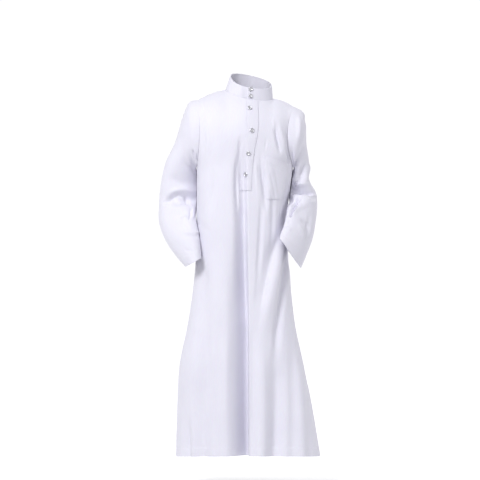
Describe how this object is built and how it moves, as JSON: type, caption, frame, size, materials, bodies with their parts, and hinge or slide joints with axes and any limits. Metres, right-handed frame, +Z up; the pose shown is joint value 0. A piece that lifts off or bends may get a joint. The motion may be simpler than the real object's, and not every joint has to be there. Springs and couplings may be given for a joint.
{
  "type": "thobe robe",
  "caption": "Long-sleeved ankle-length robe with stand collar, snap placket, chest pocket and side vents, worn and hollow, sleeves bent towards the side pockets",
  "frame": {"origin": "the middle of the neck, level with the shoulders, where the wearer holds the robe up", "axes": "+X to the wearer's left, -Y out of the front, +Z up along the robe"},
  "size_m": [0.424, 0.2675, 1.0057],
  "materials": {
    "white_cloth": "smooth light polyester and cotton cloth, cool white with a soft sheen",
    "stiffened_cloth": "the same white cloth, interlined and topstitched",
    "snap_metal": "pressed metal snap caps with a raised ring"
  },
  "bodies": {
    "root": {"front_panel": "white_cloth", "back_panel": "white_cloth", "sleeve_wearer_right": "white_cloth", "sleeve_wearer_left": "white_cloth", "collar_band": "stiffened_cloth", "front_placket": "stiffened_cloth", "chest_pocket": "white_cloth", "snap_collar_1": "snap_metal", "snap_collar_2": "snap_metal", "snap_placket_1": "snap_metal", "snap_placket_2": "snap_metal", "snap_placket_3": "snap_metal", "snap_placket_4": "snap_metal"}
  },
  "joints": []
}
